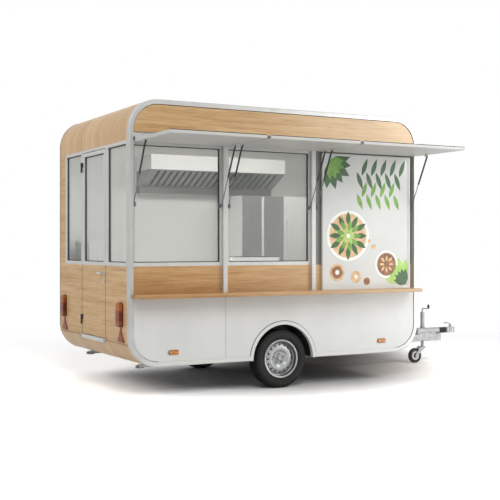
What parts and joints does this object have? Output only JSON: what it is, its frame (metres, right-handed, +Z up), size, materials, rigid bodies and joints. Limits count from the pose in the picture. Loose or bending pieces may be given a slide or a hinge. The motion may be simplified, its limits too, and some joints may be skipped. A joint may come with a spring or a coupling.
{
  "type": "food trailer",
  "caption": "Single-axle food trailer with rounded oak-clad cabin, three serving flaps on gas struts, counter shelf, menu board, rear door and ball hitch.",
  "frame": {"origin": "middle of the overall length and width, on the road under the wheels", "axes": "+X forward along the drawbar to the ball hitch, +Z up, -Y out of the serving side"},
  "size_m": [4.828, 2.924, 2.84],
  "materials": {
    "oak_boards": "matt lacquer",
    "white_panel": "satin",
    "grey_panel": "satin",
    "trim_aluminium": "brushed",
    "galvanised_steel": "galvanised",
    "black_steel": "satin",
    "bright_rod": "polished",
    "window_glass": "clear",
    "tyre_rubber": "matt",
    "wheel_silver": "satin",
    "black_rubber": "matt",
    "lamp_plastic": "gloss",
    "amber_plastic": "gloss",
    "stainless_sheet": "brushed",
    "floor_board": "matt",
    "cabinet_laminate": "satin",
    "board_face": "satin"
  },
  "bodies": {
    "trailer": {"chassis_rails": "galvanised_steel", "crossmembers": "galvanised_steel", "drawbar_pole": "galvanised_steel", "overrun_housing": "galvanised_steel", "hitch_bellows": "black_rubber", "ball_coupling": "galvanised_steel", "jockey_tube": "galvanised_steel", "axle_beam": "galvanised_steel", "floor_panel": "floor_board", "wheel_boxes": "black_steel", "skirts": "white_panel", "edge_trims": "trim_aluminium", "serving_panels": "oak_boards", "window_posts": "trim_aluminium", "hinge_rail": "trim_aluminium", "window_frames": "trim_aluminium", "window_glass": "window_glass", "bay_panel": "grey_panel", "menu_board": "board_face", "counter_shelf": "oak_boards", "wall_far": "oak_boards", "end_crowns": "oak_boards", "end_lower_curves": "oak_boards", "end_panels": "oak_boards", "rear_rails": "trim_aluminium", "roof_panel": "white_panel", "door_hinges": "black_steel", "rear_lamps": "lamp_plastic", "side_markers": "amber_plastic", "strut_brackets": "black_steel", "serving_cabinet": "cabinet_laminate", "hood": "stainless_sheet", "tall_cabinets": "stainless_sheet", "back_counter": "cabinet_laminate"},
    "door": {"door_leaf": "oak_boards", "door_frame": "trim_aluminium", "door_glass": "window_glass", "door_handle": "trim_aluminium"},
    "jockey_stem": {"jockey_stem": "galvanised_steel"},
    "jockey_fork": {"jockey_fork": "galvanised_steel"},
    "jockey_wheel": {"jockey_wheel": "black_rubber"},
    "wheel_serving": {"tyre_serving": "tyre_rubber", "rim_serving": "wheel_silver"},
    "steady_serving": {"steady_leg_serving": "galvanised_steel"},
    "wheel_far": {"tyre_far": "tyre_rubber", "rim_far": "wheel_silver"},
    "steady_far": {"steady_leg_far": "galvanised_steel"},
    "flap_1": {"flap_1": "grey_panel"},
    "strut_tubes_1": {"strut_tubes_1": "black_steel"},
    "strut_rods_1": {"strut_rods_1": "bright_rod"},
    "flap_2": {"flap_2": "grey_panel"},
    "strut_tubes_2": {"strut_tubes_2": "black_steel"},
    "strut_rods_2": {"strut_rods_2": "bright_rod"},
    "flap_3": {"flap_3": "grey_panel"},
    "strut_tubes_3": {"strut_tubes_3": "black_steel"},
    "strut_rods_3": {"strut_rods_3": "bright_rod"}
  },
  "joints": [
    {"name": "wheel_serving_spin", "type": "hinge", "parent": "trailer", "child": "wheel_serving", "pos_m": [-0.6865, -0.4955, 0.298], "axis": [0, 1, 0], "continuous": true},
    {"name": "wheel_far_spin", "type": "hinge", "parent": "trailer", "child": "wheel_far", "pos_m": [-0.6865, 1.3285, 0.298], "axis": [0, 1, 0], "continuous": true},
    {"name": "door_swing", "type": "hinge", "parent": "trailer", "child": "door", "pos_m": [-2.376, 0.692, 1.46], "axis": [0, 0, -1], "range_deg": [0, 110]},
    {"name": "flap_1_lift", "type": "hinge", "parent": "trailer", "child": "flap_1", "pos_m": [-1.835, -0.634, 2.455], "axis": [1, 0, 0], "range_deg": [0, 90]},
    {"name": "strut_1_turn", "type": "hinge", "parent": "flap_1", "child": "strut_tubes_1", "pos_m": [-1.835, -0.869, 2.405], "axis": [1, 0, 0], "range_deg": [-117.35, 0.5]},
    {"name": "strut_1_stroke", "type": "slide", "parent": "strut_tubes_1", "child": "strut_rods_1", "axis": [0, -0.4516, 0.8922], "range_m": [-0.001, 0.254]},
    {"name": "flap_2_lift", "type": "hinge", "parent": "trailer", "child": "flap_2", "pos_m": [-0.821, -0.634, 2.455], "axis": [1, 0, 0], "range_deg": [0, 90]},
    {"name": "strut_2_turn", "type": "hinge", "parent": "flap_2", "child": "strut_tubes_2", "pos_m": [-0.821, -0.869, 2.405], "axis": [1, 0, 0], "range_deg": [-117.35, 0.5]},
    {"name": "strut_2_stroke", "type": "slide", "parent": "strut_tubes_2", "child": "strut_rods_2", "axis": [0, -0.4516, 0.8922], "range_m": [-0.001, 0.254]},
    {"name": "flap_3_lift", "type": "hinge", "parent": "trailer", "child": "flap_3", "pos_m": [0.3405, -0.634, 2.455], "axis": [1, 0, 0], "range_deg": [0, 90]},
    {"name": "strut_3_turn", "type": "hinge", "parent": "flap_3", "child": "strut_tubes_3", "pos_m": [0.3405, -0.869, 2.405], "axis": [1, 0, 0], "range_deg": [-117.35, 0.5]},
    {"name": "strut_3_stroke", "type": "slide", "parent": "strut_tubes_3", "child": "strut_rods_3", "axis": [0, -0.4516, 0.8922], "range_m": [-0.001, 0.254]},
    {"name": "jockey_raise", "type": "slide", "parent": "trailer", "child": "jockey_stem", "axis": [0, 0, 1], "range_m": [0, 0.11]},
    {"name": "jockey_swivel", "type": "hinge", "parent": "jockey_stem", "child": "jockey_fork", "pos_m": [1.992, 0.5065, 0.195], "axis": [0, 0, 1], "continuous": true},
    {"name": "jockey_spin", "type": "hinge", "parent": "jockey_fork", "child": "jockey_wheel", "pos_m": [1.872, 0.5065, 0.09], "axis": [0, 1, 0], "continuous": true},
    {"name": "steady_serving_fold", "type": "hinge", "parent": "trailer", "child": "steady_serving", "pos_m": [-1.766, -0.296, 0.304], "axis": [0, -1, 0], "range_deg": [0, 40]},
    {"name": "steady_far_fold", "type": "hinge", "parent": "trailer", "child": "steady_far", "pos_m": [-1.766, 1.129, 0.304], "axis": [0, -1, 0], "range_deg": [0, 40]}
  ],
  "couplings": [
    {"joint": "strut_1_turn", "follows": "flap_1_lift", "ratio": -1.2983},
    {"joint": "strut_1_stroke", "follows": "flap_1_lift", "m_per_rad": 0.16108},
    {"joint": "strut_2_turn", "follows": "flap_2_lift", "ratio": -1.2983},
    {"joint": "strut_2_stroke", "follows": "flap_2_lift", "m_per_rad": 0.16108},
    {"joint": "strut_3_turn", "follows": "flap_3_lift", "ratio": -1.2983},
    {"joint": "strut_3_stroke", "follows": "flap_3_lift", "m_per_rad": 0.16108}
  ]
}
